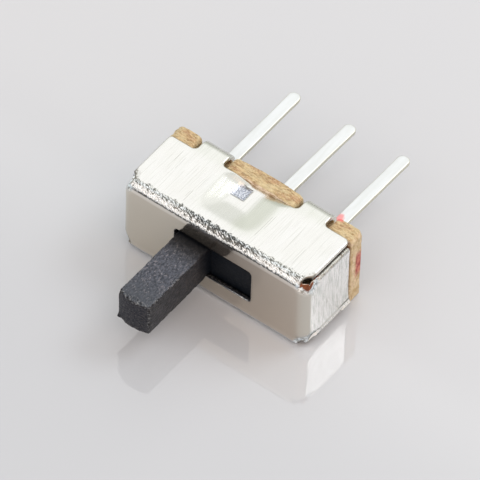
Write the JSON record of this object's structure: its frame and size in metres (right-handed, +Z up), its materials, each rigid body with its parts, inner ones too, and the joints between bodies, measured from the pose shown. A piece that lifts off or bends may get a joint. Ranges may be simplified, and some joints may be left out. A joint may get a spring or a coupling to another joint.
{
  "type": "slide switch",
  "caption": "Miniature two-position slide switch: folded metal case with a long black knob in its slot and a row of flat terminals out of the plate that closes its back.",
  "frame": {"origin": "centre of the bounding box in X and Y, on the surface that the switch lies on, with the knob at the left end of its travel", "axes": "+Z up through the case from one long side to the other, +X along the knob's travel, +Y along the terminals, away from the knob"},
  "size_m": [0.0086, 0.0124, 0.0037],
  "materials": {
    "case_plating": "bright nickel plating over thin rolled steel sheet",
    "phenolic": "punched paper-phenolic board with fibrous cut edges",
    "terminal_plating": "silver plating over flat brass strip",
    "slider_plastic": "moulded black plastic with fine scuffs",
    "clip_bronze": "springy bronze strip with a thin silver flash"
  },
  "bodies": {
    "housing": {"case": "case_plating", "base_plate": "phenolic", "terminal_left": "terminal_plating", "terminal_centre": "terminal_plating", "terminal_right": "terminal_plating"},
    "slider": {"slider": "slider_plastic", "contact_clip": "clip_bronze"}
  },
  "joints": [
    {"name": "knob_slide", "type": "slide", "parent": "housing", "child": "slider", "axis": [1, 0, 0], "range_m": [0, 0.00185]}
  ]
}
